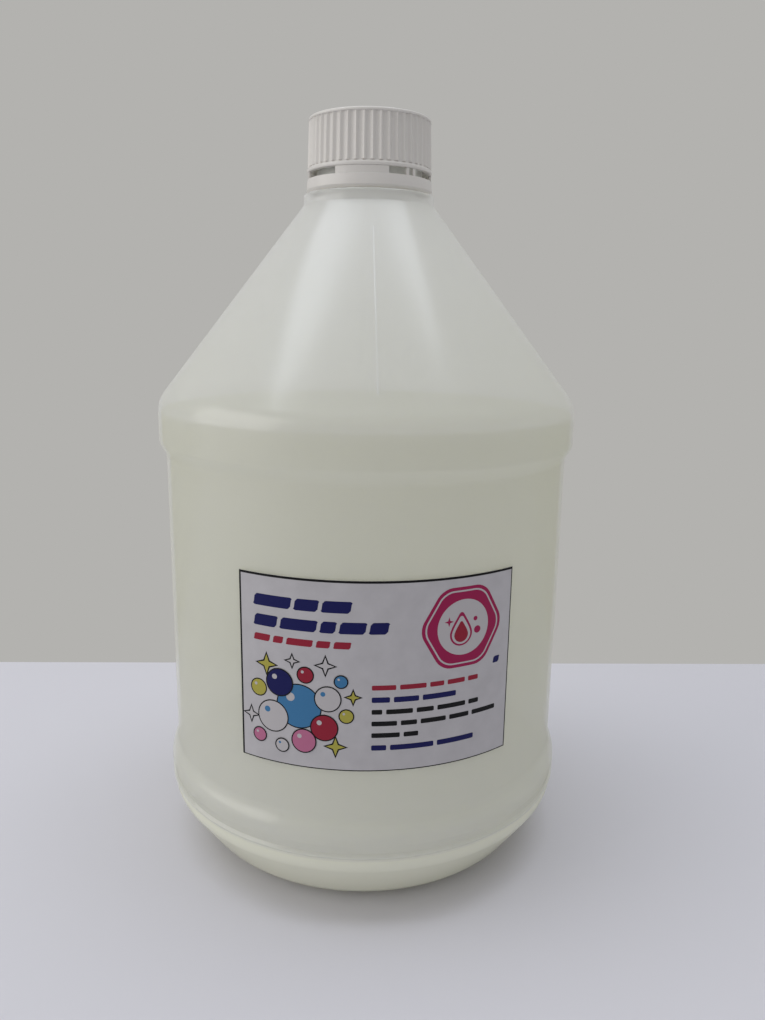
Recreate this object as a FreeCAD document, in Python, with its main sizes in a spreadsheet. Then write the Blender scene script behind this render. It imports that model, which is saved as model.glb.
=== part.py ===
import FreeCAD, Part
import math
import os
import re
import Sketcher

# A round blow-moulded bleach bottle: body, contents, label, drop-ring, liner and ribbed screw cap.
# Millimetres, +Z up, origin at the centre of the foot, label facing -Y.

SIZES = {
    # bottle body: distances between its corners before they are rounded
    "wall": 1.1,
    "body_radius": 80.0,
    "panel_recess": 2.6,
    "shoulder_height": 176.2,
    "shoulder_round": 12.0,
    "upper_band_height": 15.2,
    "lower_band_height": 13.2,
    "band_slope": 4.5,
    "band_round": 4.0,
    "heel_height": 22.3,
    "heel_round": 7.0,
    "heel_inset": 16.4,
    "foot_round": 17.0,
    "foot_width": 13.6,
    "push_up_step": 4.0,
    "push_up_run": 5.0,
    "push_up_crown": 2.5,
    # neck: collar, bead that holds the drop-ring, and lip
    "cone_height": 71.5,
    "collar_reach": 5.0,
    "collar_height": 3.9,
    "collar_edge": 0.5,
    "neck_radius": 19.4,
    "neck_height": 23.4,
    "neck_wall": 1.8,
    "lip_edge": 0.4,
    "bead_reach": 2.2,
    "bead_lift": 2.9,
    "bead_land": 0.9,
    "bead_slope": 2.0,
    # screw thread: one start, right hand
    "thread_lead": 4.2,
    "thread_depth": 1.2,
    "thread_base": 1.7,
    "thread_crest": 0.9,
    "thread_turns": 1.5,
    "thread_lift": 2.9,
    "thread_gap": 0.3,
    "thread_root": 0.4,
    # marks of the two mould halves
    "seam_width": 0.6,
    "seam_proud": 0.15,
    "seam_top_margin": 2.0,
    "seam_low_margin": 8.0,
    "pinch_margin": 7.0,
    "pinch_proud": 0.6,
    # screw cap
    "cap_plate": 1.5,
    "cap_skirt": 1.0,
    "cap_draft": 0.5,
    "rim_height": 1.7,
    "rim_round": 1.1,
    "flange_height": 1.5,
    "flange_proud": 0.75,
    "flange_edge": 0.3,
    "rib_count": 48,
    "rib_depth": 0.55,
    "rib_base": 1.3,
    "rib_tip": 0.7,
    "rib_root": 0.3,
    # liner disc under the cap's plate
    "liner_thickness": 1.5,
    "liner_gap": 0.3,
    # drop-ring, with the lands and bridges that reach from it to the cap
    "ring_lift": 0.3,
    "ring_height": 4.7,
    "ring_wall": 1.15,
    "ring_flare": 0.35,
    "ring_foot_edge": 1.0,
    "ring_gap": 0.3,
    "ring_turn": 20.1,
    "hook_height": 2.3,
    "hook_reach": 1.3,
    "hook_slope": 0.9,
    "slot_height": 2.5,
    "bridge_sets": 3,
    "land_turn": 49.0,
    "bridge_width": 1.3,
    "bridge_inset": 0.15,
    "bridge_root": 0.3,
    "bridge_spacing": 7.5,
    "bridge_turn": 47.3,
    "bridge_gap": 0.05,
    # contents
    "fill_drop": 3.2,
    "fill_gap": 0.1,
    # label
    "label_width": 98.0,
    "label_height": 66.6,
    "label_lift": 19.2,
    "label_thickness": 0.2,
    "label_gap": 0.1,
    "label_turn": 1.1,
}

doc = FreeCAD.newDocument("BleachBottle")
sheet = doc.addObject("Spreadsheet::Sheet", "Sizes")
for row, (alias, number) in enumerate(SIZES.items(), start=1):
    sheet.set(f"A{row}", alias)
    sheet.set(f"B{row}", str(number))
    sheet.setAlias(f"B{row}", alias)
doc.recompute()

# Sizes that several pieces share, as expressions of the sheet's values.
panel_radius = "(body_radius - panel_recess)"
foot_radius = "(body_radius - heel_inset - foot_width)"
crown_radius = "(body_radius - heel_inset - foot_width - push_up_run)"
panel_foot = "(heel_height + lower_band_height + band_slope)"
panel_top = "(shoulder_height - upper_band_height - band_slope)"
cone_top = "(shoulder_height + cone_height)"
collar_radius = "(neck_radius + collar_reach)"
collar_top = f"({cone_top} + collar_height)"
neck_top = f"({collar_top} + neck_height)"
bore_radius = "(neck_radius - neck_wall)"
bead_radius = "(neck_radius + bead_reach)"
bead_foot = f"({collar_top} + bead_lift)"
cone_tilt = f"atan((body_radius - {collar_radius}) / cone_height)"
heel_tilt = "atan(heel_inset / heel_height)"
heel_rise = "atan(heel_height / heel_inset)"
band_tilt = "atan(panel_recess / band_slope)"
step_rise = "atan(push_up_step / push_up_run)"
skirt_inside = "(neck_radius + thread_depth + thread_gap)"
ring_inside = f"({bead_radius} + ring_gap)"
ring_foot = f"({collar_top} + ring_lift)"
ring_top = f"({ring_foot} + ring_height)"
cap_foot = f"({ring_top} + slot_height)"
cap_ceiling = f"({neck_top} + liner_thickness)"
cap_top = f"({cap_ceiling} + cap_plate)"
thread_foot = f"({cap_foot} + thread_lift)"
fill_height = "(shoulder_height - fill_drop)"
label_foot = f"({panel_foot} + label_lift)"


def bound(expression):
    """Point each size's name in an expression at the sheet."""
    return re.sub(r"[a-z_]+", lambda word: f"Sizes.{word[0]}" if word[0] in SIZES else word[0], expression)


def value(expression):
    """Work an expression out, for the first drawing of what is then bound to it."""
    result = sheet.evalExpression(bound(expression))
    return float(getattr(result, "Value", result))


def new_body(label):
    body = doc.addObject("PartDesign::Body", label)
    body.Label = label
    body.Placement = FreeCAD.Placement()
    doc.recompute()
    return body


def turn_body(body, angle):
    """Turn a finished body about Z."""
    turned = FreeCAD.Rotation(FreeCAD.Vector(0, 0, 1), value(angle))
    body.Placement = FreeCAD.Placement(FreeCAD.Vector(), turned)
    body.setExpression(".Placement.Rotation.Angle", bound(angle))


def origin_feature(body, role):
    return next(feature for feature in body.Origin.OriginFeatures if feature.Role == role)


def new_sketch(body, name, role, lift="0", turn="0"):
    """Start a sketch on one of the body's own planes, lifted off it and turned about its normal."""
    sketch = body.newObject("Sketcher::SketchObject", name)
    sketch.AttachmentSupport = (origin_feature(body, role), [""])
    sketch.MapMode = "FlatFace"
    upright = FreeCAD.Vector(0, 0, 1)
    turned = FreeCAD.Rotation(upright, value(turn))
    sketch.AttachmentOffset = FreeCAD.Placement(upright * value(lift), turned)
    if lift != "0":
        sketch.setExpression(".AttachmentOffset.Base.z", bound(lift))
    if turn != "0":
        sketch.setExpression(".AttachmentOffset.Rotation.Angle", bound(turn))
    return sketch


def constrain(sketch, kind, *terms, size=None):
    """Add a constraint; with a size, draw it at that size and bind it to the sheet."""
    if size is None:
        return sketch.addConstraint(Sketcher.Constraint(kind, *terms))
    index = sketch.addConstraint(Sketcher.Constraint(kind, *terms, value(size)))
    sketch.setExpression(f"Constraints[{index}]", bound(size))
    return index


def place_point(sketch, geometry, end, across, up):
    """Hold a point at its distances from the sketch's origin."""
    origin_point = (-1, 1)
    if across == "0":
        constrain(sketch, "PointOnObject", geometry, end, -2)
    else:
        constrain(sketch, "DistanceX", *origin_point, geometry, end, size=across)
    if up == "0":
        constrain(sketch, "PointOnObject", geometry, end, -1)
    else:
        constrain(sketch, "DistanceY", *origin_point, geometry, end, size=up)


def draw_outline(sketch, corners):
    """Draw a closed outline through corners given as across, up and, where it is rounded, a radius.

    A rounded corner keeps its sharp point as construction; its arc is tangent to both sides.
    """
    count = len(corners)
    points = [FreeCAD.Vector(value(corner[0]), value(corner[1]), 0) for corner in corners]
    rounds = [value(corner[2]) if len(corner) > 2 else 0.0 for corner in corners]
    starts, ends, arcs = [], [], []
    for index, point in enumerate(points):
        back = (points[index - 1] - point).normalize()
        ahead = (points[(index + 1) % count] - point).normalize()
        half = back.getAngle(ahead) / 2
        if not rounds[index]:
            ends.append(point)
            starts.append(point)
            arcs.append(None)
            continue
        reach = rounds[index] / math.tan(half)
        centre = point + (back + ahead).normalize() * (reach ** 2 + rounds[index] ** 2) ** 0.5
        middle = centre + (point - centre).normalize() * rounds[index]
        ends.append(point + back * reach)
        starts.append(point + ahead * reach)
        arcs.append(Part.Arc(ends[-1], middle, starts[-1]))
    for index in range(count):
        sketch.addGeometry(Part.LineSegment(starts[index], ends[(index + 1) % count]))
    for index, corner in enumerate(corners):
        before = (index - 1) % count
        if arcs[index] is None:
            constrain(sketch, "Coincident", before, 2, index, 1)
            place_point(sketch, index, 1, corner[0], corner[1])
            continue
        sharp = sketch.addGeometry(Part.Point(points[index]), True)
        place_point(sketch, sharp, 1, corner[0], corner[1])
        constrain(sketch, "PointOnObject", sharp, 1, before)
        constrain(sketch, "PointOnObject", sharp, 1, index)
        arc = sketch.addGeometry(arcs[index])
        anticlockwise = turns_left(points[before], points[index], points[(index + 1) % count])
        first, last = (1, 2) if anticlockwise else (2, 1)
        constrain(sketch, "Tangent", before, 2, arc, first)
        constrain(sketch, "Tangent", arc, last, index, 1)
        constrain(sketch, "Radius", arc, size=corner[2])
    return sketch


def turns_left(before, corner, after):
    """Tell whether an outline turns anticlockwise at a corner, which is how an arc counts its ends."""
    return (corner - before).cross(after - corner).z > 0


def revolve(body, name, corners, feature="PartDesign::Revolution", turn="360"):
    """Turn an outline drawn in the XZ plane about Z."""
    sketch = draw_outline(new_sketch(body, f"{name}Outline", "XZ_Plane"), corners)
    turned = body.newObject(feature, name)
    turned.Profile = sketch
    turned.ReferenceAxis = (sketch, ["V_Axis"])
    turned.setExpression("Angle", bound(turn))
    return turned


def thread(body, name, corners):
    """Run a ridge of the given section up a right-hand helix."""
    sketch = draw_outline(new_sketch(body, f"{name}Section", "XZ_Plane"), corners)
    ridge = body.newObject("PartDesign::AdditiveHelix", name)
    ridge.Profile = sketch
    ridge.ReferenceAxis = (sketch, ["V_Axis"])
    ridge.Mode = "pitch-turns-angle"
    ridge.setExpression("Pitch", bound("thread_lead"))
    ridge.setExpression("Turns", bound("thread_turns"))
    return ridge


def rib(body, name, corners):
    """Pad a thin rib, drawn in the YZ plane, to the seam's width about that plane."""
    sketch = draw_outline(new_sketch(body, f"{name}Outline", "YZ_Plane"), corners)
    pad = body.newObject("PartDesign::Pad", name)
    pad.Profile = sketch
    pad.SideType = "Symmetric"
    pad.setExpression("Length", bound("seam_width"))
    return pad


def bar(sketch, inner, outer, inner_width, outer_width):
    """Draw a bar's section along X, wide or tapered, the same on both sides of the X axis."""
    half_inner, half_outer = value(inner_width) / 2, value(outer_width) / 2
    points = [FreeCAD.Vector(value(inner), half_inner), FreeCAD.Vector(value(inner), -half_inner),
              FreeCAD.Vector(value(outer), -half_outer), FreeCAD.Vector(value(outer), half_outer)]
    for index in range(4):
        sketch.addGeometry(Part.LineSegment(points[index], points[(index + 1) % 4]))
    for index in range(4):
        constrain(sketch, "Coincident", index, 2, (index + 1) % 4, 1)
    constrain(sketch, "Symmetric", 0, 1, 0, 2, -1)
    constrain(sketch, "Symmetric", 2, 2, 2, 1, -1)
    constrain(sketch, "DistanceX", -1, 1, 0, 1, size=inner)
    constrain(sketch, "DistanceX", -1, 1, 2, 2, size=outer)
    constrain(sketch, "DistanceY", 0, 2, 0, 1, size=inner_width)
    constrain(sketch, "DistanceY", 2, 1, 2, 2, size=outer_width)
    return sketch


def repeat(body, name, originals, count):
    """Copy features evenly round Z."""
    pattern = body.newObject("PartDesign::PolarPattern", name)
    pattern.Originals = originals
    pattern.Axis = (origin_feature(body, "Z_Axis"), [""])
    pattern.Angle = 360
    pattern.setExpression("Occurrences", bound(count))
    body.Tip = pattern
    return pattern


def cavity_corners(skin):
    """Give the outline of the hollow that lies one skin inside the bottle's outer surface."""
    cone_shift = f"{skin} * tan({cone_tilt} / 2)"
    band_shift = f"{skin} * tan({band_tilt} / 2)"
    step_shift = f"{skin} * tan({step_rise} / 2)"
    return [
        ("0", f"push_up_step + push_up_crown + {skin}"),
        (f"{crown_radius} + {step_shift}", f"push_up_step + {skin}"),
        (f"{foot_radius} + {step_shift}", skin),
        (f"body_radius - heel_inset - {skin} * tan({heel_rise} / 2)", skin, f"foot_round - {skin}"),
        (f"body_radius - {skin}", f"heel_height + {skin} * tan({heel_tilt} / 2)", f"heel_round - {skin}"),
        (f"body_radius - {skin}", f"heel_height + lower_band_height - {band_shift}"),
        (f"{panel_radius} - {skin}", f"{panel_foot} - {band_shift}"),
        (f"{panel_radius} - {skin}", f"{panel_top} + {band_shift}"),
        (f"body_radius - {skin}", f"shoulder_height - upper_band_height + {band_shift}"),
        (f"body_radius - {skin}", f"shoulder_height - {cone_shift}", f"shoulder_round - {skin}"),
        (f"{collar_radius} - {skin}", f"{cone_top} - {cone_shift}"),
        (f"{collar_radius} - {skin}", f"{collar_top} - neck_wall"),
        (bore_radius, f"{collar_top} - neck_wall"),
        (bore_radius, f"{neck_top} + {skin}"),
        ("0", f"{neck_top} + {skin}"),
    ]


def make_bottle():
    """Blow-moulded body: foot, heel, label panel between two bands, cone, collar and threaded neck."""
    body = new_body("bottle")
    revolve(body, "BottleForm", [
        ("0", "push_up_step + push_up_crown"),
        (crown_radius, "push_up_step"),
        (foot_radius, "0"),
        ("body_radius - heel_inset", "0", "foot_round"),
        ("body_radius", "heel_height", "heel_round"),
        ("body_radius", "heel_height + lower_band_height", "band_round"),
        (panel_radius, panel_foot, "band_round"),
        (panel_radius, panel_top, "band_round"),
        ("body_radius", "shoulder_height - upper_band_height", "band_round"),
        ("body_radius", "shoulder_height", "shoulder_round"),
        (collar_radius, cone_top),
        (collar_radius, f"{collar_top} - collar_edge"),
        (f"{collar_radius} - collar_edge", collar_top),
        ("neck_radius", collar_top),
        ("neck_radius", bead_foot),
        (bead_radius, bead_foot),
        (bead_radius, f"{bead_foot} + bead_land"),
        ("neck_radius", f"{bead_foot} + bead_land + bead_slope"),
        ("neck_radius", f"{neck_top} - lip_edge"),
        ("neck_radius - lip_edge", neck_top),
        ("0", neck_top),
    ])
    thread(body, "NeckThread", [
        ("neck_radius - thread_root", thread_foot),
        ("neck_radius + thread_depth", f"{thread_foot} + (thread_base - thread_crest) / 2"),
        ("neck_radius + thread_depth", f"{thread_foot} + (thread_base + thread_crest) / 2"),
        ("neck_radius - thread_root", f"{thread_foot} + thread_base"),
    ])
    doc.recompute()

    def seam_point(height, lift):
        on_cone = f"{collar_radius} + ({cone_top} - ({height})) * tan({cone_tilt})"
        return f"{on_cone} + {lift} * cos({cone_tilt})", f"{height} + {lift} * sin({cone_tilt})"

    seam = rib(body, "MouldSeam", [
        seam_point(f"{cone_top} - seam_top_margin", "(-wall / 2)"),
        seam_point("shoulder_height + seam_low_margin", "(-wall / 2)"),
        seam_point("shoulder_height + seam_low_margin", "seam_proud"),
        seam_point(f"{cone_top} - seam_top_margin", "seam_proud"),
    ])
    repeat(body, "BothMouldSeams", [seam], "2")
    pinch_length = f"({crown_radius} - pinch_margin)"
    crown_fall = f"push_up_crown * {pinch_length} / {crown_radius}"
    pinch = rib(body, "PinchLine", [
        ("0", "push_up_step + push_up_crown - pinch_proud"),
        (pinch_length, f"push_up_step + push_up_crown - {crown_fall} - pinch_proud"),
        (pinch_length, f"push_up_step + push_up_crown - {crown_fall} + wall / 2"),
        ("0", "push_up_step + push_up_crown + wall / 2"),
    ])
    repeat(body, "BothPinchLines", [pinch], "2")
    doc.recompute()
    revolve(body, "Hollow", cavity_corners("wall"), "PartDesign::Groove")
    return body


def make_bleach():
    """Liquid that fills the hollow up to its level."""
    body = new_body("bleach")
    revolve(body, "FullHollow", cavity_corners("(wall + fill_gap)"))
    doc.recompute()
    revolve(body, "HeadSpace", [
        ("0", fill_height),
        ("body_radius", fill_height),
        ("body_radius", cap_top),
        ("0", cap_top),
    ], "PartDesign::Groove")
    return body


def make_label():
    """Thin printed sheet wrapped on the front of the panel."""
    body = new_body("label")
    back = f"{panel_radius} + label_gap"
    face = f"{panel_radius} + label_gap + label_thickness"
    sheet_band = revolve(body, "LabelSheet", [
        (back, label_foot),
        (face, label_foot),
        (face, f"{label_foot} + label_height"),
        (back, f"{label_foot} + label_height"),
    ], turn=f"label_width / {panel_radius} * 180 / pi")
    sheet_band.Midplane = True
    turn_body(body, "label_turn - 90")
    return body


def make_drop_ring():
    """Tamper ring hooked under the neck's bead; its lands and bridge pairs end at the cap's foot."""
    body = new_body("tamper_ring")
    ring_outside = f"{ring_inside} + ring_wall"
    revolve(body, "RingForm", [
        (f"{ring_inside} - hook_reach", ring_foot),
        (f"{ring_outside} + ring_flare - ring_foot_edge", ring_foot),
        (f"{ring_outside} + ring_flare", f"{ring_foot} + ring_foot_edge"),
        (ring_outside, ring_top),
        (ring_inside, ring_top),
        (ring_inside, f"{ring_foot} + hook_height"),
        (f"{ring_inside} - hook_reach", f"{ring_foot} + hook_height - hook_slope"),
    ])
    doc.recompute()
    land = revolve(body, "Land", [
        (f"{ring_inside} + bridge_inset", f"{ring_top} - bridge_root"),
        (f"{ring_outside} - bridge_inset", f"{ring_top} - bridge_root"),
        (f"{ring_outside} - bridge_inset", f"{cap_foot} - bridge_gap"),
        (f"{ring_inside} + bridge_inset", f"{cap_foot} - bridge_gap"),
    ], turn="land_turn")
    land.Midplane = True
    reaches = [land]
    for name, side in (("LeftBridge", "-"), ("RightBridge", "+")):
        turn = f"bridge_turn {side} bridge_spacing / 2"
        sketch = new_sketch(body, f"{name}Section", "XY_Plane", f"{ring_top} - bridge_root", turn)
        bar(sketch, f"{ring_inside} + bridge_inset", f"{ring_outside} - bridge_inset",
            "bridge_width", "bridge_width")
        bridge = body.newObject("PartDesign::Pad", name)
        bridge.Profile = sketch
        bridge.setExpression("Length", bound("bridge_root + slot_height - bridge_gap"))
        reaches.append(bridge)
    doc.recompute()
    repeat(body, "Bridges", reaches, "bridge_sets")
    turn_body(body, "ring_turn")
    return body


def make_liner():
    """Foam disc that seals the neck's lip."""
    body = new_body("cap_liner")
    liner_radius = f"{skirt_inside} - liner_gap"
    revolve(body, "LinerDisc", [
        ("0", neck_top),
        (liner_radius, neck_top),
        (liner_radius, cap_ceiling),
        ("0", cap_ceiling),
    ])
    return body


def make_cap():
    """Ribbed screw cap with a smooth rim and flange, hollow inside, with a thread."""
    body = new_body("screw_cap")
    root_top = f"({skirt_inside} + cap_skirt)"
    root_foot = f"({skirt_inside} + cap_skirt + cap_draft)"
    flange_radius = f"({root_foot} + flange_proud)"
    rib_foot = f"({cap_foot} + flange_height)"
    rib_top = f"({cap_top} - rim_height)"
    revolve(body, "CapForm", [
        ("0", cap_foot),
        (f"{flange_radius} - flange_edge", cap_foot),
        (flange_radius, f"{cap_foot} + flange_edge"),
        (flange_radius, f"{rib_foot} - flange_edge"),
        (f"{flange_radius} - flange_edge", rib_foot),
        (root_foot, rib_foot),
        (root_top, rib_top),
        (f"{root_top} + rib_depth", rib_top),
        (f"{root_top} + rib_depth", cap_top, "rim_round"),
        ("0", cap_top),
    ])
    doc.recompute()
    low = new_sketch(body, "RibFootSection", "XY_Plane", f"{rib_foot} - rib_root")
    bar(low, f"{root_foot} - rib_root", f"{root_foot} + rib_depth", "rib_base", "rib_tip")
    high = new_sketch(body, "RibTopSection", "XY_Plane", f"{rib_top} + rib_root")
    bar(high, f"{root_top} - rib_root", f"{root_top} + rib_depth", "rib_base", "rib_tip")
    grip = body.newObject("PartDesign::AdditiveLoft", "GripRib")
    grip.Profile = low
    grip.Sections = [high]
    grip.Ruled = True
    doc.recompute()
    repeat(body, "GripRibs", [grip], "rib_count")
    doc.recompute()
    revolve(body, "CapHollow", [
        ("0", f"{cap_foot} - wall"),
        (skirt_inside, f"{cap_foot} - wall"),
        (skirt_inside, cap_ceiling),
        ("0", cap_ceiling),
    ], "PartDesign::Groove")
    doc.recompute()
    thread_low = f"({thread_foot} - thread_lead / 2)"
    thread(body, "CapThread", [
        (f"{skirt_inside} + thread_root", thread_low),
        (f"{skirt_inside} + thread_root", f"{thread_low} + thread_base"),
        ("neck_radius + thread_gap", f"{thread_low} + (thread_base + thread_crest) / 2"),
        ("neck_radius + thread_gap", f"{thread_low} + (thread_base - thread_crest) / 2"),
    ])
    return body


pieces = [make_bottle(), make_bleach(), make_label(), make_drop_ring(), make_liner(), make_cap()]
doc.recompute()

for item in doc.Objects:
    if {"Invalid", "Error"} & set(item.State):
        raise RuntimeError(f"{item.Label} did not build: {item.State}")
for piece in pieces:
    if piece.Shape.isNull() or not piece.Shape.isValid() or len(piece.Shape.Solids) != 1:
        raise RuntimeError(f"{piece.Label} is not one sound solid")

os.makedirs("parts", exist_ok=True)
for piece in pieces:
    piece.Shape.exportStep(f"parts/{piece.Label}.step")
    print(f"{piece.Label}: {piece.Shape.Volume / 1000:.2f} cm3, {len(piece.Shape.Faces)} faces")
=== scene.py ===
import math
import bpy
from mathutils import Matrix, Vector


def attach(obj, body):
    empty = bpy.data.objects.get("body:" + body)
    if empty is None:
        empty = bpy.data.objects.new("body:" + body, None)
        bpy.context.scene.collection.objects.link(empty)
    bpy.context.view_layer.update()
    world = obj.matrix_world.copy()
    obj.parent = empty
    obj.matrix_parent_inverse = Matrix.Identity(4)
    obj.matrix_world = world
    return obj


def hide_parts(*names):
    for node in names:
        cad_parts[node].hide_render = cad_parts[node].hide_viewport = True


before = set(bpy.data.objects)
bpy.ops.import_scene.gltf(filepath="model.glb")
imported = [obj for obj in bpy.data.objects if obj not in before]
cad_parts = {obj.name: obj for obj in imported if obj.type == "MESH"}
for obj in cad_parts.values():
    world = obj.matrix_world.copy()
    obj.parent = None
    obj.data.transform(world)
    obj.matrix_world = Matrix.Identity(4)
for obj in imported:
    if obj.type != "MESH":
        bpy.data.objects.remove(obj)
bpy.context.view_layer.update()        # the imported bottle: bodies, nodes, joints and record

# Bleach bottle: milky blow-moulded jug, ribbed white cap on its drop-ring, wrapped label, pale bleach.
# Lengths in the dictionaries are millimetres and angles degrees; mm() gives the scene's metres.


def mm(length):
    return length / 1000.0


def deselectAll():
    if bpy.context.object and bpy.context.object.mode != "OBJECT":
        bpy.ops.object.mode_set(mode="OBJECT")
    bpy.ops.object.select_all(action="DESELECT")


def holdOnly(piece):
    deselectAll()
    piece.select_set(True)
    bpy.context.view_layer.objects.active = piece


def editOnly(piece):
    # the piece alone, in edit mode, with nothing in it selected
    holdOnly(piece)
    bpy.ops.object.mode_set(mode="EDIT")
    bpy.ops.mesh.select_all(action="DESELECT")


def pickVertices(piece, wanted):
    # select the vertices whose place, in millimetres, passes the test
    bpy.ops.object.mode_set(mode="EDIT")
    bpy.ops.mesh.select_mode(type="VERT")
    bpy.ops.mesh.select_all(action="DESELECT")
    bpy.ops.object.mode_set(mode="OBJECT")
    for vertex in piece.data.vertices:
        vertex.select = wanted(vertex.co * 1000.0)
    bpy.ops.object.mode_set(mode="EDIT")


def applyModifiers(piece):
    holdOnly(piece)
    for modifier in list(piece.modifiers):
        bpy.ops.object.modifier_apply(modifier=modifier.name)


def joinPieces(target, others):
    deselectAll()
    for other in others:
        other.select_set(True)
    target.select_set(True)
    bpy.context.view_layer.objects.active = target
    bpy.ops.object.join()
    return target


def smoothPiece(piece, angle=35):
    holdOnly(piece)
    bpy.ops.object.shade_smooth_by_angle(angle=math.radians(angle))


def finishPiece(piece, body, nodeName, material=None):
    # give a piece its finish, and put it on its body in the place of its CAD node
    if material:
        piece.data.materials.clear()
        piece.data.materials.append(material)
    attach(piece, body)
    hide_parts(nodeName)
    print("made", piece.name, len(piece.data.polygons), "faces")


def roundedPath(corners, reach=1.2):
    # corners are across, up and, where it is rounded, a radius; an arc gets a point about every reach
    path = []
    for index, corner in enumerate(corners):
        point = Vector(corner[:2])
        if len(corner) < 3:
            path.append(point)
            continue
        back = (Vector(corners[index - 1][:2]) - point).normalized()
        ahead = (Vector(corners[index + 1][:2]) - point).normalized()
        half = back.angle(ahead) / 2
        centre = point + (back + ahead).normalized() * corner[2] / math.sin(half)
        first = point + back * corner[2] / math.tan(half) - centre
        turn = first.angle_signed(point + ahead * corner[2] / math.tan(half) - centre)
        steps = max(4, math.ceil(abs(turn) * corner[2] / reach))
        for step in range(steps + 1):
            path.append(centre + Matrix.Rotation(-turn * step / steps, 2) @ first)
    return path


def drawLine(name, points):
    # one point, extruded along the line in the XZ plane, and left selected in edit mode
    deselectAll()
    bpy.ops.mesh.primitive_circle_add(vertices=3, radius=0.001)
    piece = bpy.context.object
    piece.name = name
    bpy.ops.object.mode_set(mode="EDIT")
    bpy.ops.mesh.select_mode(type="VERT")
    bpy.ops.mesh.select_all(action="SELECT")
    bpy.ops.mesh.merge(type="CENTER")
    bpy.ops.transform.translate(value=(mm(points[0].x), 0, mm(points[0].y)))
    for before, after in zip(points, points[1:]):
        stride = after - before
        bpy.ops.mesh.extrude_vertices_move(TRANSFORM_OT_translate={"value": (mm(stride.x), 0, mm(stride.y))})
    bpy.ops.mesh.select_all(action="SELECT")
    return piece


def closeMesh():
    # in edit mode: merge what lies within 0.002 mm, and turn all faces outwards
    bpy.ops.mesh.select_all(action="SELECT")
    bpy.ops.mesh.remove_doubles(threshold=mm(0.002))
    bpy.ops.mesh.normals_make_consistent(inside=False)
    deselectAll()


def turnProfile(name, corners, steps):
    # the profile is spun about Z
    piece = drawLine(name, roundedPath(corners))
    bpy.ops.mesh.spin(steps=steps, angle=math.tau, center=(0, 0, 0), axis=(0, 0, 1))
    closeMesh()
    return piece


def threadRidge(name, form):
    # a closed section, counted inwards from the first corner, wound up by a Screw modifier
    section = [Vector((across, form["threadFoot"] + up)) for across, up in form["threadSection"]]
    ridge = drawLine(name, section + section[:1])
    bpy.ops.mesh.remove_doubles(threshold=mm(0.002))
    bpy.ops.object.mode_set(mode="OBJECT")
    winding = ridge.modifiers.new("Winding", "SCREW")
    winding.axis = "Z"
    winding.angle = math.tau * form["threadTurns"]
    winding.screw_offset = mm(form["threadLead"] * form["threadTurns"])
    winding.steps = winding.render_steps = round(72 * form["threadTurns"])
    applyModifiers(ridge)
    # the two open ends are filled
    editOnly(ridge)
    bpy.ops.mesh.select_mode(type="EDGE")
    bpy.ops.mesh.select_non_manifold(extend=False, use_boundary=True, use_wire=False,
                                     use_multi_face=False, use_non_contiguous=False, use_verts=False)
    bpy.ops.mesh.fill_holes(sides=len(section))
    bpy.ops.mesh.select_all(action="SELECT")
    bpy.ops.mesh.normals_make_consistent(inside=False)
    deselectAll()
    return ridge


def paint(code):
    # sRGB hex to the linear colour that the shader takes
    channels = [int(code[place:place + 2], 16) / 255 for place in (1, 3, 5)]
    linear = [c / 12.92 if c <= 0.04045 else ((c + 0.055) / 1.055) ** 2.4 for c in channels]
    return (*linear, 1.0)


def addNode(tree, kind, settings=None, links=None):
    # one node, with its settings and what feeds its sockets; a named setting may be a socket's value
    node = tree.nodes.new(kind)
    for key, worth in (settings or {}).items():
        if isinstance(key, int) or key in node.inputs:
            node.inputs[key].default_value = worth
        else:
            setattr(node, key, worth)
    for key, source in (links or {}).items():
        tree.links.new(source, node.inputs[key])
    return node


def newFinish(name):
    finish = bpy.data.materials.new(name)
    finish.use_nodes = True
    return finish, finish.node_tree, finish.node_tree.nodes["Principled BSDF"]


def setRamp(node, stops):
    ramp = node.color_ramp
    while len(ramp.elements) < len(stops):
        ramp.elements.new(0.5)
    for element, (place, colour) in zip(ramp.elements, stops):
        element.position = place
        element.color = colour


milkyPlastic = {
    # clear is the share of light that goes straight through a face of the wall, and haze the share of
    # the rest that is passed on scattered; up is the height, because the wall is thicker at its foot
    "stages": [
        {"up": 25.4, "clear": 0.14, "haze": 0.2, "tone": "#fafaec"},
        {"up": 27.4, "clear": 0.38, "haze": 0.5, "tone": "#fafafa"},
        {"up": 100.0, "clear": 0.47, "haze": 0.63, "tone": "#fafafa"},
    ],
    "gloss": 0.04,
    "roughness": 0.2,
    "waveGrain": 34.0,
    "waveDepth": 0.2,
}


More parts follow.
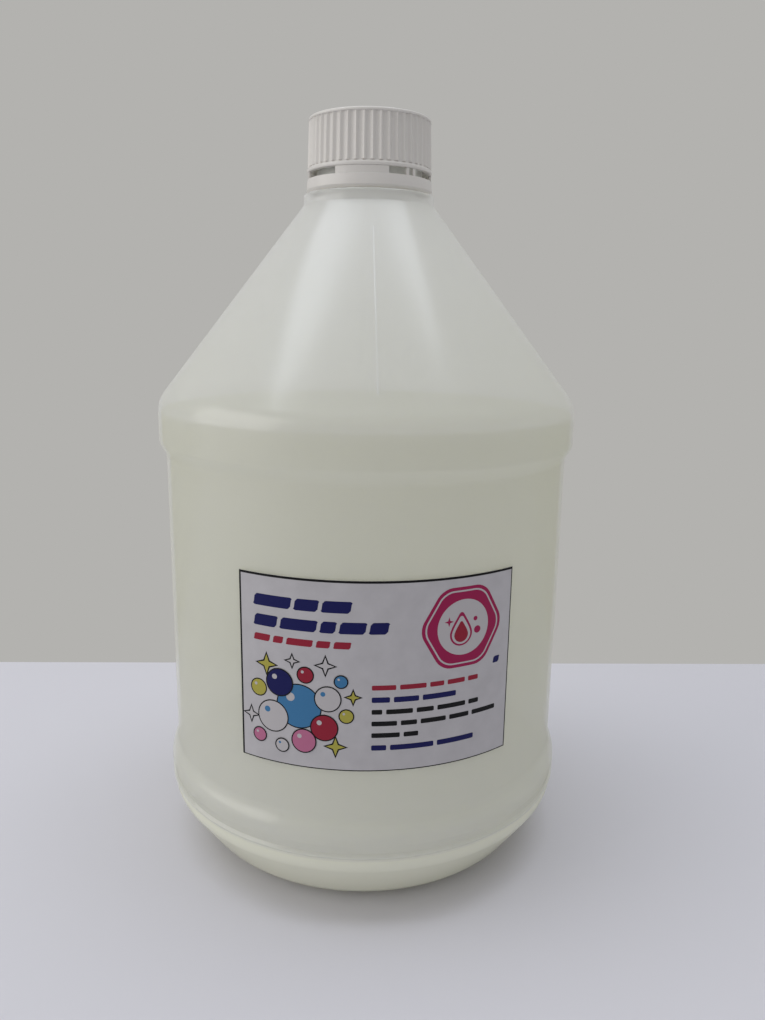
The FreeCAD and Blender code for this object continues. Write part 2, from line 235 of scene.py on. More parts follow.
def makeMilkyPlastic():
    # natural high-density polyethylene, blow-moulded: waxy gloss, white by scatter, light comes through it
    finish, tree, shader = newFinish("NaturalPolyethylene")
    pick = milkyPlastic
    place = addNode(tree, "ShaderNodeTexCoord").outputs["Object"]
    wave = addNode(tree, "ShaderNodeTexNoise", {"Scale": 1 / mm(pick["waveGrain"]), "Detail": 1.0},
                   {"Vector": place})
    bump = addNode(tree, "ShaderNodeBump", {"Strength": 1.0, "Distance": mm(pick["waveDepth"])},
                   {"Height": wave.outputs["Fac"]})
    height = addNode(tree, "ShaderNodeSeparateXYZ", links={0: place}).outputs["Z"]
    reach = pick["stages"][-1]["up"]
    climb = addNode(tree, "ShaderNodeMapRange", {"From Max": mm(reach)}, {"Value": height})
    varied = {}
    for key in ("clear", "haze", "tone"):
        ramp = addNode(tree, "ShaderNodeValToRGB", links={"Fac": climb.outputs["Result"]})
        worth = [stage[key] for stage in pick["stages"]]
        colours = [paint(level) if key == "tone" else (level, level, level, 1) for level in worth]
        setRamp(ramp, [(stage["up"] / reach, colour) for stage, colour in zip(pick["stages"], colours)])
        varied[key] = ramp.outputs["Color"]
    tree.links.new(varied["tone"], shader.inputs["Base Color"])
    tree.links.new(bump.outputs["Normal"], shader.inputs["Normal"])
    shader.inputs["Roughness"].default_value = pick["roughness"]
    shader.inputs["IOR"].default_value = 1.54
    haze = addNode(tree, "ShaderNodeBsdfTranslucent", links={"Color": varied["tone"]})
    straight = addNode(tree, "ShaderNodeBsdfTransparent", {"Color": paint("#ffffff")})
    shine = addNode(tree, "ShaderNodeBsdfAnisotropic",
                    {"Color": paint("#ffffff"), "Roughness": pick["roughness"]},
                    {"Normal": bump.outputs["Normal"]})
    milk = addNode(tree, "ShaderNodeMixShader",
                   links={0: varied["haze"], 1: shader.outputs[0], 2: haze.outputs[0]})
    wall = addNode(tree, "ShaderNodeMixShader",
                   links={0: varied["clear"], 1: milk.outputs[0], 2: straight.outputs[0]})
    skin = addNode(tree, "ShaderNodeMixShader", {0: pick["gloss"]}, {1: wall.outputs[0], 2: shine.outputs[0]})
    tree.links.new(skin.outputs[0], tree.nodes["Material Output"].inputs["Surface"])
    return finish


capPlastic = {
    "colour": "#d9d5d0",
    "roughness": 0.32,
    "grain": 0.9,
    "grainDepth": 0.012,
}


def makeCapPlastic():
    # white polypropylene, injection-moulded: opaque, even, with the faint skin of the mould
    finish, tree, shader = newFinish("WhitePolypropylene")
    place = addNode(tree, "ShaderNodeTexCoord").outputs["Object"]
    grain = addNode(tree, "ShaderNodeTexNoise", {"Scale": 1 / mm(capPlastic["grain"]), "Detail": 2.0},
                    {"Vector": place})
    bump = addNode(tree, "ShaderNodeBump", {"Strength": 0.6, "Distance": mm(capPlastic["grainDepth"])},
                   {"Height": grain.outputs["Fac"]})
    tree.links.new(bump.outputs["Normal"], shader.inputs["Normal"])
    shader.inputs["Base Color"].default_value = paint(capPlastic["colour"])
    shader.inputs["Roughness"].default_value = capPlastic["roughness"]
    shader.inputs["IOR"].default_value = 1.49
    shader.inputs["Subsurface Weight"].default_value = 0.2
    shader.inputs["Subsurface Radius"].default_value = (1.0, 1.0, 0.9)
    shader.inputs["Subsurface Scale"].default_value = mm(0.6)
    return finish


linerFoam = {"colour": "#e4e4e2", "roughness": 0.85, "cell": 0.4, "cellDepth": 0.05}


def makeLinerFoam():
    # closed-cell polyethylene foam: matt and white, with fine cells
    finish, tree, shader = newFinish("PolyethyleneFoam")
    place = addNode(tree, "ShaderNodeTexCoord").outputs["Object"]
    cells = addNode(tree, "ShaderNodeTexVoronoi", {"Scale": 1 / mm(linerFoam["cell"])}, {"Vector": place})
    bump = addNode(tree, "ShaderNodeBump", {"Strength": 0.5, "Distance": mm(linerFoam["cellDepth"])},
                   {"Height": cells.outputs["Distance"]})
    tree.links.new(bump.outputs["Normal"], shader.inputs["Normal"])
    shader.inputs["Base Color"].default_value = paint(linerFoam["colour"])
    shader.inputs["Roughness"].default_value = linerFoam["roughness"]
    return finish


bleachLiquid = {
    "tint": "#ebebcd",
    "passed": "#f7f7ea",
    "clear": 0.74,           # share of light that goes straight through each face of the liquid
    "roughness": 0.05,
}


def makeBleachLiquid():
    # dilute hypochlorite: clear, with a faint yellow-green cast
    finish, tree, shader = newFinish("DiluteHypochlorite")
    shader.inputs["Base Color"].default_value = paint(bleachLiquid["tint"])
    shader.inputs["Roughness"].default_value = bleachLiquid["roughness"]
    shader.inputs["IOR"].default_value = 1.34
    straight = addNode(tree, "ShaderNodeBsdfTransparent", {"Color": paint(bleachLiquid["passed"])})
    body = addNode(tree, "ShaderNodeMixShader", {0: bleachLiquid["clear"]},
                   {1: shader.outputs[0], 2: straight.outputs[0]})
    tree.links.new(body.outputs[0], tree.nodes["Material Output"].inputs["Surface"])
    return finish


labelPaper = {"dull": "#b3b0b3", "pale": "#bbb8bb", "fibre": 6.0, "roughness": 0.45}


def makeLabelPaper():
    # coated label paper: cool white, slightly uneven, satin
    finish, tree, shader = newFinish("CoatedLabelPaper")
    place = addNode(tree, "ShaderNodeTexCoord").outputs["Object"]
    fibre = addNode(tree, "ShaderNodeTexNoise", {"Scale": 1 / mm(labelPaper["fibre"]), "Detail": 4.0},
                    {"Vector": place})
    tone = addNode(tree, "ShaderNodeValToRGB", links={0: fibre.outputs["Fac"]})
    setRamp(tone, [(0.3, paint(labelPaper["dull"])), (0.7, paint(labelPaper["pale"]))])
    tree.links.new(tone.outputs["Color"], shader.inputs["Base Color"])
    shader.inputs["Roughness"].default_value = labelPaper["roughness"]
    return finish


inks = {
    "magenta": "#96184b", "red": "#8f1f33", "blue": "#0e1150", "black": "#08080a", "sky": "#3d74a0",
    "pink": "#b36a8a", "yellow": "#a8a048", "paper": "#b8b4b6",
}


def makeInks():
    # flexographic inks on the label: flat, deep colours under a dull varnish
    made = {}
    for name, code in inks.items():
        finish, tree, shader = newFinish(f"LabelInk{name.capitalize()}")
        shader.inputs["Base Color"].default_value = paint(code)
        shader.inputs["Roughness"].default_value = 0.5
        shader.inputs["Specular IOR Level"].default_value = 0.2
        made[name] = finish
    return made


coneFoot = (79.95, 176.2)
coneTop = (24.4, 247.7)

bottleForm = {
    "steps": 240,
    # corners of the outer and the inner wall: across, up, rounding
    "outer": [(0, 6.5), (45, 4.0, 3), (50, 0, 1.6), (63.55, 0, 17), (79.2, 22.3, 7), (79.2, 26.5, 0.3),
              (79.95, 27.05, 0.3), (79.95, 27.6, 0.3), (79.1, 28.5, 0.4), (79.95, 31.8, 2), (79.95, 35.5, 8),
              (77.4, 40, 8), (77.4, 156.5, 4), (79.95, 161, 4), (*coneFoot, 12), (*coneTop, 1.2),
              (24.4, 251.6, 0.9), (19.4, 251.6, 0.6), (19.4, 254.5), (21.6, 254.5, 0.25), (21.6, 255.4, 0.3),
              (19.4, 257.4, 0.6), (19.4, 275, 0.6)],
    "inner": [(17.6, 275, 0.5), (17.6, 249.8, 1.5), (23.3, 249.8, 1.5), (23.3, 247.1, 1.5),
              (78.85, 175.8, 11), (78.85, 160.7, 3), (76.3, 156.2, 3), (76.3, 40.2, 3), (78.85, 35.7, 3),
              (78.85, 22.6, 6), (63.0, 1.1, 16), (50.5, 1.1, 1), (45.4, 5.1, 1), (0, 7.6)],
    "threadFoot": 262.0, "threadLead": 4.2, "threadTurns": 1.5,
    "threadSection": [(19.0, 0.0), (20.6, 0.4), (20.6, 1.3), (19.0, 1.7)],
    "seamRod": 0.35, "seamProud": 0.05, "seamTop": 238.0, "seamFoot": 184.2,
}


def makeSeam(form):
    # the mould halves leave a hair-thin ridge up the cone, front and back
    slope = math.atan2(coneTop[1] - coneFoot[1], coneFoot[0] - coneTop[0])
    middle = (form["seamTop"] + form["seamFoot"]) / 2
    radius = coneTop[0] + (coneTop[1] - middle) / math.tan(slope)
    length = (form["seamTop"] - form["seamFoot"]) / math.sin(slope)
    # only the crown of a rod stands out of the wall
    deselectAll()
    bpy.ops.mesh.primitive_cylinder_add(vertices=24, radius=mm(form["seamRod"]), depth=mm(length))
    seam = bpy.context.object
    seam.name = "mouldSeam"
    bpy.ops.object.mode_set(mode="EDIT")
    bpy.ops.mesh.select_mode(type="FACE")
    bpy.ops.mesh.select_all(action="DESELECT")
    bpy.ops.object.mode_set(mode="OBJECT")
    for polygon in seam.data.polygons:
        polygon.select = len(polygon.vertices) > 4
    bpy.ops.object.mode_set(mode="EDIT")
    bpy.ops.mesh.bevel(offset=mm(form["seamRod"] * 0.8), segments=4, affect="EDGES")
    bpy.ops.object.mode_set(mode="OBJECT")
    turn = Matrix.Rotation(-(math.pi / 2 - slope), 4, "X")
    out = Vector((0, -math.sin(slope), math.cos(slope))) * mm(form["seamProud"] - form["seamRod"])
    seam.data.transform(Matrix.Translation(Vector((0, -mm(radius), mm(middle))) + out) @ turn)
    back = seam.copy()
    back.data = seam.data.copy()
    bpy.context.collection.objects.link(back)
    back.data.transform(Matrix.Rotation(math.pi, 4, "Z"))
    return joinPieces(seam, [back])


def makeBottle():
    # jug, neck thread and mould seams in one mesh
    form = bottleForm
    bottle = turnProfile("bottleBody", form["outer"] + form["inner"], form["steps"])
    bottle = joinPieces(bottle, [threadRidge("neckThread", form), makeSeam(form)])
    smoothPiece(bottle, 40)
    finishPiece(bottle, "bottle", "bottle", makeMilkyPlastic())
    return bottle


makeBottle()
print("bottle done")

bleachForm = {
    "steps": 144,
    "corners": [(0, 7.7), (45.4, 5.2, 1), (50.5, 1.2, 1), (62.95, 1.2, 16), (78.75, 22.6, 6),
                (78.75, 35.7, 3), (76.2, 40.2, 3), (76.2, 156.2, 3), (78.75, 160.7, 3),
                (78.75, 173.0, 0.4), (0, 173.0)],
}
bleach = turnProfile("bleachFill", bleachForm["corners"], bleachForm["steps"])
smoothPiece(bleach, 40)
finishPiece(bleach, "bottle", "bleach", makeBleachLiquid())

# the label is laid out flat, with x to the right and y up, and then bent round the panel
labelSheet = {
    "width": 98.13, "height": 66.6, "thickness": 0.2, "foot": 59.2, "turn": 1.1,
    "backRadius": 77.5, "strip": 2.0, "inkLayer": 0.012,
}


def layFlat(shape, ink, layer):
    # lift a flat shape to its layer of ink and colour it
    deselectAll()
    shape.location.z = mm(labelSheet["thickness"] + layer * labelSheet["inkLayer"])
    shape.data.materials.append(ink)
    return shape


def inkBar(ink, layer, left, low, width, height, soft=0.0, lean=0.0):
    bpy.ops.mesh.primitive_plane_add(size=1, location=(mm(left + width / 2), mm(low + height / 2), 0))
    bar = bpy.context.object
    bpy.ops.object.mode_set(mode="EDIT")
    bpy.ops.mesh.select_mode(type="VERT")
    bpy.ops.mesh.select_all(action="SELECT")
    bpy.ops.transform.resize(value=(mm(width), mm(height), 1))
    if soft:
        bpy.ops.mesh.bevel(offset=mm(soft), segments=4, affect="VERTICES")
    if lean:
        for floor in (-0.3, 0.0, 0.3):
            pickVertices(bar, lambda point: point.y > floor * height)
            bpy.ops.transform.translate(value=(mm(lean * height / 3), 0, 0))
    return layFlat(bar, ink, layer)


def inkDisc(ink, layer, x, y, radius, corners=40, soft=0.0, turn=0.0):
    bpy.ops.mesh.primitive_circle_add(vertices=corners, radius=mm(radius), fill_type="NGON",
                                      location=(mm(x), mm(y), 0))
    disc = bpy.context.object
    bpy.ops.object.mode_set(mode="EDIT")
    bpy.ops.mesh.select_mode(type="VERT")
    bpy.ops.mesh.select_all(action="SELECT")
    if turn:
        bpy.ops.transform.rotate(value=math.radians(turn), orient_axis="Z", center_override=(mm(x), mm(y), 0))
    if soft:
        bpy.ops.mesh.bevel(offset=mm(soft), segments=5, affect="VERTICES")
    return layFlat(disc, ink, layer)


def inkDrop(ink, layer, x, y, radius):
    # a disc whose upper vertices are drawn up into a point, more and more
    bpy.ops.mesh.primitive_circle_add(vertices=64, radius=mm(radius), fill_type="NGON",
                                      location=(mm(x), mm(y), 0))
    drop = bpy.context.object
    for floor, narrow, rise in labelDesign["dropDraws"]:
        pickVertices(drop, lambda point: point.y > floor * radius)
        bpy.ops.transform.resize(value=(narrow, 1, 1), center_override=(mm(x), mm(y), 0))
        bpy.ops.transform.translate(value=(0, mm(rise * radius), 0))
    return layFlat(drop, ink, layer)


def inkSparkle(ink, layer, x, y, radius, waist=0.34, points=4):
    # a circle of twice as many vertices as points, every other one drawn in
    bpy.ops.mesh.primitive_circle_add(vertices=points * 2, radius=mm(radius), fill_type="NGON",
                                      location=(mm(x), mm(y), 0))
    sparkle = bpy.context.object
    pickVertices(sparkle, lambda point: round(math.atan2(point.y, point.x) * points / math.pi) % 2 == 1)
    bpy.ops.transform.resize(value=(waist, waist, 1), center_override=(mm(x), mm(y), 0))
    return layFlat(sparkle, ink, layer)


def inkRow(ink, left, low, height, widths, lean=0.0, gap=1.3):
    # a row of plain blocks at the size of a line of print
    shapes = []
    for width in widths:
        shapes.append(inkBar(ink, 1, left, low, width, height, height * 0.22, lean))
        left += width + gap
    return shapes


labelDesign = {
    # the frame: thicker along the top
    "frame": [(-49.06, 65.8, 98.12, 0.8), (-49.06, 0, 0.7, 66.6), (48.66, 0, 0.4, 66.6),
              (-49.06, 0, 98.12, 0.35)],
    # rows of blocks: ink, left, low, height, widths of the blocks, lean
    "rows": [
        ("blue", -43.5, 55.6, 4.0, (13.5, 8, 9.5), 0.25),
        ("blue", -43.5, 48.6, 4.0, (8.5, 12.5, 5, 8.5, 6), 0.25),
        ("red", -43.5, 43.4, 2.4, (6, 3.5, 9, 4.5, 5.5), 0.25),
        ("red", -2.5, 29.2, 1.7, (8, 9, 5, 6.5, 4), 0),
        ("blue", -2.5, 24.8, 1.9, (6, 8.5, 12), 0),
        ("black", -2.5, 20.6, 1.7, (3.5, 9, 6, 10.5, 4), 0),
        ("black", -2.5, 16.4, 1.7, (8.5, 5.5, 9, 7.5, 10), 0),
        ("black", -2.5, 12.2, 1.7, (9.5, 5), 0),
        ("blue", -2.5, 7.6, 1.9, (5, 15, 14), 0),
        ("blue", 41.4, 33.4, 2.4, (2.6,), 0.25),
    ],
    # the badge: soft hexagons, with a drop, dots and a sparkle on a disc
    "badge": {
        "x": 28.8, "y": 48.8,
        # hexagons: ink, radius, softness of the corners
        "hexagons": [("magenta", 16.2, 3.6), ("paper", 14.904, 3.3), ("magenta", 14.256, 3.1)],
        "disc": 9.72,
        # drops: ink, y, radius
        "drops": [("magenta", -2.2, 4.2), ("paper", -2.3, 3.5), ("red", -2.5, 2.6)],
        "dropX": -1.0,
        # dots: x, y, radius, corners
        "dots": [(5.3, -1.6, 1.3, 24), (4.4, 2.4, 0.8, 20)],
        # sparkle: x, y, radius
        "sparkle": (-5.6, 2.4, 1.7),
    },
    # bubbles: ink, x, y, radius
    "bubbles": [
        ("sky", -27.0, 22.0, 7.6), ("paper", -36.4, 17.0, 5.4), ("red", -18.2, 15.2, 4.4),
        ("paper", -17.0, 25.6, 4.2), ("blue", -33.8, 29.6, 4.6), ("pink", -25.2, 9.8, 4.0),
        ("yellow", -41.8, 26.4, 2.8), ("red", -24.6, 33.4, 2.6), ("yellow", -10.8, 19.8, 2.2),
        ("pink", -41.6, 9.2, 2.3), ("sky", -12.6, 32.0, 2.0), ("paper", -33.0, 7.0, 2.2),
    ],
    # sparkles: ink, x, y, radius
    "sparkles": [
        ("yellow", -38.6, 35.4, 3.4), ("paper", -17.8, 37.2, 3.0), ("yellow", -14.4, 8.6, 3.2),
        ("paper", -45.0, 16.0, 2.6), ("yellow", -8.6, 26.6, 2.2), ("paper", -29.2, 37.8, 2.0),
    ],
    "outline": 0.42,
    # a bubble's glint, as shares of its radius: across, up, radius
    "glint": (-0.38, 0.4, 0.2),
    # the black sparkle under each one: how many outlines wider, and how far its waist is drawn in
    "underSparkle": (2.4, 0.4),
    # how a disc is drawn up into a drop: from how many radii up, how much narrower, and how much higher
    "dropDraws": [(0.1, 0.97, 0.08), (0.35, 0.93, 0.12), (0.62, 0.88, 0.16), (0.95, 0.8, 0.2),
                  (1.3, 0.66, 0.24)],
}


def drawBadge(ink):
    badge = labelDesign["badge"]
    x, y = badge["x"], badge["y"]
    shapes = []
    for layer, (name, radius, soft) in enumerate(badge["hexagons"], start=1):
        shapes.append(inkDisc(ink[name], layer, x, y, radius, corners=6, soft=soft, turn=30))
    shapes.append(inkDisc(ink["paper"], 4, x, y, badge["disc"], corners=56))
    for layer, (name, up, radius) in enumerate(badge["drops"], start=5):
        shapes.append(inkDrop(ink[name], layer, x + badge["dropX"], y + up, radius))
    for across, up, radius, corners in badge["dots"]:
        shapes.append(inkDisc(ink["magenta"], 5, x + across, y + up, radius, corners))
    across, up, radius = badge["sparkle"]
    shapes.append(inkSparkle(ink["magenta"], 5, x + across, y + up, radius))
    return shapes


def drawBubbles(ink):
    shapes = []
    rim = labelDesign["outline"]
    across, up, share = labelDesign["glint"]
    wider, waist = labelDesign["underSparkle"]
    for index, (name, x, y, radius) in enumerate(labelDesign["bubbles"]):
        # rim, disc and glint; bubbles that touch lie on layers of their own
        layer = 1 + 3 * (index % 6)
        glint = ink["paper"] if name != "paper" else ink["sky"]
        shapes.append(inkDisc(ink["black"], layer, x, y, radius + rim))
        shapes.append(inkDisc(ink[name], layer + 1, x, y, radius))
        place = (x + radius * across, y + radius * up)
        shapes.append(inkDisc(glint, layer + 2, *place, radius * share, corners=20))
    for name, x, y, radius in labelDesign["sparkles"]:
        shapes.append(inkSparkle(ink["black"], 1, x, y, radius + rim * wider, waist))
        shapes.append(inkSparkle(ink[name], 2, x, y, radius))
    return shapes


def bendRound(sheet):
    # flat and facing up to upright and facing the front, then bent so that y = 0 lies on the back radius
    pick = labelSheet
    editOnly(sheet)
    bpy.ops.mesh.select_all(action="SELECT")
    half = pick["width"] / 2
    for step in range(1, math.ceil(pick["width"] / pick["strip"])):
        bpy.ops.mesh.bisect(plane_co=(mm(step * pick["strip"] - half), 0, 0), plane_no=(1, 0, 0))
        bpy.ops.mesh.select_all(action="SELECT")
    deselectAll()
    sheet.data.transform(Matrix.Rotation(math.pi / 2, 4, "X"))
    bend = sheet.modifiers.new("RoundPanel", "SIMPLE_DEFORM")
    bend.deform_method = "BEND"
    bend.deform_axis = "Z"
    bend.angle = pick["width"] / pick["backRadius"]
    applyModifiers(sheet)
    sheet.data.transform(Matrix.Translation((0, -mm(pick["backRadius"]), mm(pick["foot"]))))
    sheet.data.transform(Matrix.Rotation(math.radians(pick["turn"]), 4, "Z"))


def thicken(sheet, thickness):
    wall = sheet.modifiers.new("Thickness", "SOLIDIFY")
    wall.thickness = mm(thickness)
    wall.offset = 1
    applyModifiers(sheet)


def makeLabel():
    # paper and print are laid out flat, joined, and bent round the panel together
    pick = labelSheet
    ink = makeInks()
    paper = inkBar(makeLabelPaper(), 0, -pick["width"] / 2, 0, pick["width"], pick["height"])
    paper.location.z = 0
    thicken(paper, pick["thickness"])
    shapes = [inkBar(ink["black"], 1, *place) for place in labelDesign["frame"]]
    for name, left, low, height, widths, lean in labelDesign["rows"]:
        shapes += inkRow(ink[name], left, low, height, widths, lean)
    shapes += drawBadge(ink) + drawBubbles(ink)
    prints = joinPieces(shapes[0], shapes[1:])
    bpy.ops.object.transform_apply(location=True, rotation=True, scale=True)
    thicken(prints, pick["inkLayer"] * 0.9)
    holdOnly(paper)
    bpy.ops.object.transform_apply(location=True, rotation=True, scale=True)
    label = joinPieces(paper, [prints])
    label.name = "printedLabel"
    bendRound(label)
    smoothPiece(label, 20)
    finishPiece(label, "bottle", "label")


makeLabel()

capForm = {
    "ribs": 48, "perRib": 8, "root": 22.2, "ribFoot": 261.0, "ribTop": 276.8, "wallMiddle": 21.5,
    # how far a rib stands out, by eighths of the way to the next one
    "ribRise": [0.75, 0.54, 0.13],
    # corners: across, up, rounding
    "corners": [(0, 278), (22.5, 278, 0.7), (22.5, 276.95, 0.25), (21.7, 276.75, 0.15), (22.2, 260.95, 0.3),
                (23.15, 260.15, 0.3), (23.15, 259.1, 0.4), (20.9, 259.1, 0.2), (20.9, 276.5, 0.3),
                (0, 276.5)],
    "threadFoot": 259.9, "threadLead": 4.2, "threadTurns": 1.5,
    "threadSection": [(21.3, 0.0), (21.3, 1.7), (19.7, 1.3), (19.7, 0.4)],
}


def onRib(point, form, reach):
    # true on the skirt's outside, within so many eighths of a rib's middle
    share = (math.atan2(point.y, point.x) / math.tau * form["ribs"]) % 1.0
    near = min(share, 1 - share) * form["perRib"] < reach + 0.2
    outside = math.hypot(point.x, point.y) > form["wallMiddle"]
    return near and outside and form["ribFoot"] < point.z < form["ribTop"]


def makeCap():
    form = capForm
    cap = turnProfile("ribbedCap", form["corners"], form["ribs"] * form["perRib"])
    editOnly(cap)
    # the ribs are raised from their flanks to their middles
    raised = 0.0
    for reach in reversed(range(len(form["ribRise"]))):
        pickVertices(cap, lambda point: onRib(point, form, reach))
        swell = (form["root"] + form["ribRise"][reach]) / (form["root"] + raised)
        bpy.ops.transform.resize(value=(swell, swell, 1), center_override=(0, 0, 0))
        raised = form["ribRise"][reach]
    deselectAll()
    cap = joinPieces(cap, [threadRidge("capThread", form)])
    smoothPiece(cap, 50)
    return cap


ringForm = {
    "steps": 192,
    "section": [(20.6, 251.9), (22.4, 251.9, 0.25), (23.38, 252.9, 0.3), (23.05, 256.6, 0.25), (21.9, 256.6),
                (21.9, 254.2), (20.6, 253.3)],
    # lands and bridge pairs stand in three sets on the ring, up to the cap
    "sets": 3, "inner": 22.05, "outer": 22.9, "foot": 256.3, "top": 259.05,
    "landStart": 20.1 - 24.5, "landTurn": 49.0,
    "bridgeTurn": 20.1 + 47.3, "bridgeSpacing": 7.5, "bridgeWidth": 1.3,
}


def makeReach(form, width):
    # a softened block from the ring up to the cap, on the X axis
    size = (form["outer"] - form["inner"], width, form["top"] - form["foot"])
    middle = ((form["inner"] + form["outer"]) / 2, 0, (form["foot"] + form["top"]) / 2)
    deselectAll()
    bpy.ops.mesh.primitive_cube_add(size=1)
    reach = bpy.context.object
    bpy.ops.object.mode_set(mode="EDIT")
    bpy.ops.mesh.select_all(action="SELECT")
    bpy.ops.transform.resize(value=[mm(side) for side in size])
    bpy.ops.mesh.bevel(offset=mm(0.15), segments=2, affect="EDGES")
    bpy.ops.mesh.select_all(action="SELECT")
    bpy.ops.transform.translate(value=[mm(place) for place in middle])
    return reach


def makeLand(form):
    # a closed section spun through the land's turn, and its ends filled
    deselectAll()
    bpy.ops.mesh.primitive_plane_add(size=1, rotation=(math.pi / 2, 0, 0))
    land = bpy.context.object
    bpy.ops.object.transform_apply(location=False, rotation=True, scale=False)
    bpy.ops.object.mode_set(mode="EDIT")
    bpy.ops.mesh.select_mode(type="VERT")
    bpy.ops.mesh.select_all(action="SELECT")
    bpy.ops.transform.resize(value=(mm(form["outer"] - form["inner"]), 1, mm(form["top"] - form["foot"])))
    middle = ((form["inner"] + form["outer"]) / 2, 0, (form["foot"] + form["top"]) / 2)
    bpy.ops.transform.translate(value=[mm(place) for place in middle])
    bpy.ops.mesh.spin(steps=24, angle=math.radians(form["landTurn"]), center=(0, 0, 0), axis=(0, 0, 1))
    bpy.ops.mesh.select_all(action="SELECT")
    bpy.ops.mesh.normals_make_consistent(inside=False)
    deselectAll()
    # the spin runs clockwise from the X axis
    land.data.transform(Matrix.Rotation(math.radians(form["landStart"] + form["landTurn"]), 4, "Z"))
    return land


def repeatRound(piece, count):
    # copies of the whole piece round Z, in the same mesh
    editOnly(piece)
    bpy.ops.mesh.select_mode(type="VERT")
    bpy.ops.mesh.select_all(action="SELECT")
    bpy.ops.mesh.spin(dupli=True, steps=count, angle=math.tau, center=(0, 0, 0), axis=(0, 0, 1))
    bpy.ops.mesh.select_all(action="SELECT")
    bpy.ops.mesh.remove_doubles(threshold=mm(0.002))
    deselectAll()


def makeRing():
    form = ringForm
    ring = turnProfile("dropRing", form["section"] + form["section"][:1], form["steps"])
    reaches = [makeLand(form)]
    for side in (-1, 1):
        bridge = makeReach(form, form["bridgeWidth"])
        angle = form["bridgeTurn"] + side * form["bridgeSpacing"] / 2
        deselectAll()
        bridge.data.transform(Matrix.Rotation(math.radians(angle), 4, "Z"))
        reaches.append(bridge)
    for reach in reaches:
        repeatRound(reach, form["sets"])
    ring = joinPieces(ring, reaches)
    smoothPiece(ring, 35)
    return ring


whiteCap = makeCapPlastic()
finishPiece(makeCap(), "cap", "screw_cap", whiteCap)
finishPiece(makeRing(), "bottle", "tamper_ring", whiteCap)
# the liner's CAD solid is right as it is, and only gets its finish
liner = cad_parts["cap_liner"]
liner.data.materials.clear()
liner.data.materials.append(makeLinerFoam())
print("closure done")

stageSizes = {
    "floorColour": "#d3d1d7",
    "floorSize": (4000, 2000),
    "floorBack": 151.0,       # the table's far edge, which the photograph shows behind the bottle
    "floorTurn": -2.0,
    "backdrop": "#b3b2af",
    "roomLight": "#e9eaea",
    "roomStrength": 0.6,
}


def makeStage():
    deselectAll()
    bpy.ops.mesh.primitive_plane_add(size=1)
    floor = bpy.context.object
    floor.name = "floor"
    wide, deep = stageSizes["floorSize"]
    floor.data.transform(Matrix.Diagonal((mm(wide), mm(deep), 1, 1)))
    floor.data.transform(Matrix.Translation((0, mm(stageSizes["floorBack"] - deep / 2), 0)))
    floor.data.transform(Matrix.Rotation(math.radians(stageSizes["floorTurn"]), 4, "Z"))
    # painted board: pale, slightly cool, dull
    board, tree, shader = newFinish("PaintedBoard")
    shader.inputs["Base Color"].default_value = paint(stageSizes["floorColour"])
    shader.inputs["Roughness"].default_value = 0.6
    floor.data.materials.append(board)
    world = bpy.data.worlds.new("SoftRoom")
    world.use_nodes = True
    bpy.context.scene.world = world
    tree = world.node_tree
    tree.nodes.clear()
    light = addNode(tree, "ShaderNodeBackground", {"Color": paint(stageSizes["roomLight"]),
                                                   "Strength": stageSizes["roomStrength"]})
    wall = addNode(tree, "ShaderNodeBackground", {"Color": paint(stageSizes["backdrop"]), "Strength": 1.0})
    # what the camera, gloss and clear plastic see is the backdrop; the rest gets the soft light
    ray = addNode(tree, "ShaderNodeLightPath")
    mirrored = addNode(tree, "ShaderNodeMath", {"operation": "MAXIMUM"},
                       {0: ray.outputs["Is Glossy Ray"], 1: ray.outputs["Is Transmission Ray"]})
    seen = addNode(tree, "ShaderNodeMath", {"operation": "MAXIMUM"},
                   {0: ray.outputs["Is Camera Ray"], 1: mirrored.outputs[0]})
    mix = addNode(tree, "ShaderNodeMixShader", links={0: seen.outputs[0], 1: light.outputs[0],
                                                      2: wall.outputs[0]})
    addNode(tree, "ShaderNodeOutputWorld", links={0: mix.outputs[0]})


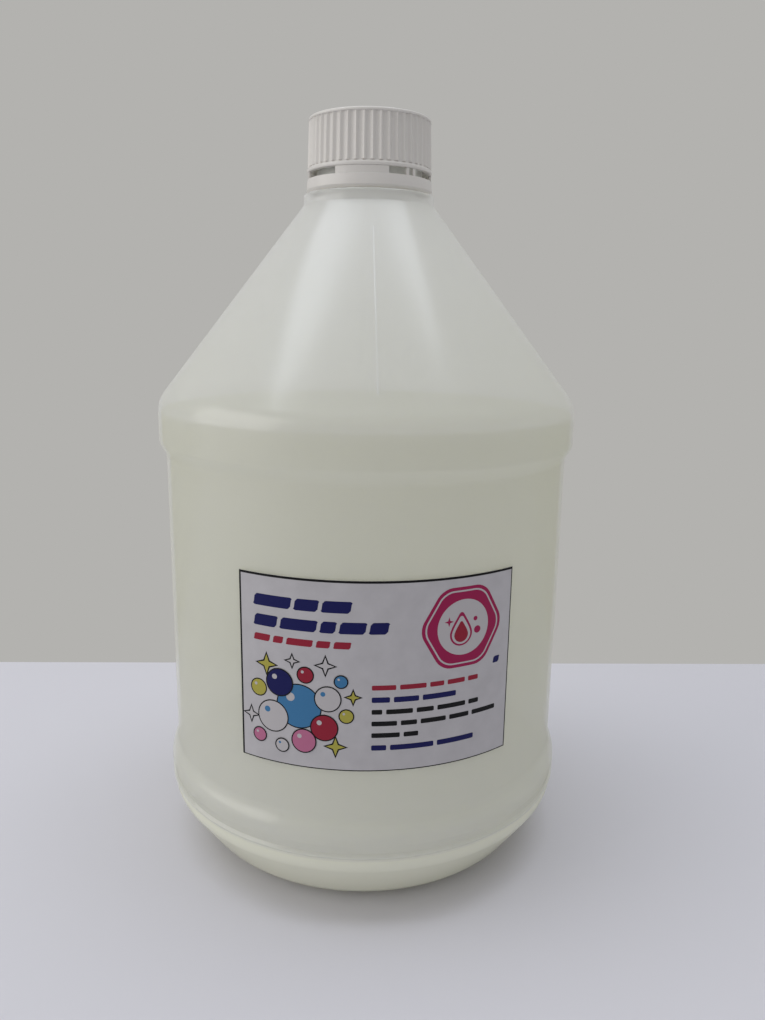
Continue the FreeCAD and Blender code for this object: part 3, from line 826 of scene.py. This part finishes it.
lamps = {
    # places, aims and sizes in metres, power in watts
    "window": {
        "place": (-1.66, -0.36, 0.7), "aim": (0, 0, 0.12), "size": (1.8, 1.2), "power": 9.3,
        "colour": "#fffdf8",
    },
    "ceiling": {
        "place": (-0.135, 0.11, 1.9), "aim": (-0.135, 0.11, 0), "size": (2.37, 1.0), "power": 17.5,
        "colour": "#f0f6ff",
    },
}


def makeLamps():
    for name, pick in lamps.items():
        lamp = bpy.data.lights.new(name, "AREA")
        lamp.shape = "RECTANGLE"
        lamp.size, lamp.size_y = pick["size"]
        lamp.energy = pick["power"]
        lamp.color = paint(pick["colour"])[:3]
        holder = bpy.data.objects.new(name, lamp)
        bpy.context.collection.objects.link(holder)
        holder.location = pick["place"]
        aim = Vector(pick["aim"]) - Vector(pick["place"])
        holder.rotation_euler = aim.to_track_quat("-Z", "Y").to_euler()


viewpoint = {
    # fitted to the photograph: distance and height from the bottle's foot, then the way it looks
    "distance": 332.2, "height": 207.2, "turn": 2.6, "yaw": 1.15, "pitch": 12.86, "roll": -0.85, "lens": 29.6,
}


def makeCamera():
    pick = viewpoint
    yaw, pitch, roll = (math.radians(pick[key]) for key in ("yaw", "pitch", "roll"))
    forward = Vector((math.sin(yaw) * math.cos(pitch), math.cos(yaw) * math.cos(pitch), -math.sin(pitch)))
    level = Vector((math.cos(yaw), -math.sin(yaw), 0))
    drop = forward.cross(level)
    right = level * math.cos(roll) + drop * math.sin(roll)
    down = drop * math.cos(roll) - level * math.sin(roll)
    aim = Matrix((right, -down, -forward)).transposed().to_4x4()
    turn = Matrix.Rotation(math.radians(-pick["turn"]), 4, "Z")
    place = Matrix.Translation((0, -mm(pick["distance"]), mm(pick["height"])))
    eye = bpy.data.cameras.new("photoCamera")
    eye.lens = pick["lens"]
    eye.sensor_width = 36
    eye.clip_start = 0.01
    camera = bpy.data.objects.new("photoCamera", eye)
    bpy.context.collection.objects.link(camera)
    camera.matrix_world = turn @ place @ aim
    bpy.context.scene.camera = camera


makeStage()
makeLamps()
makeCamera()
bpy.context.scene.view_settings.view_transform = "Standard"
print("stage done")
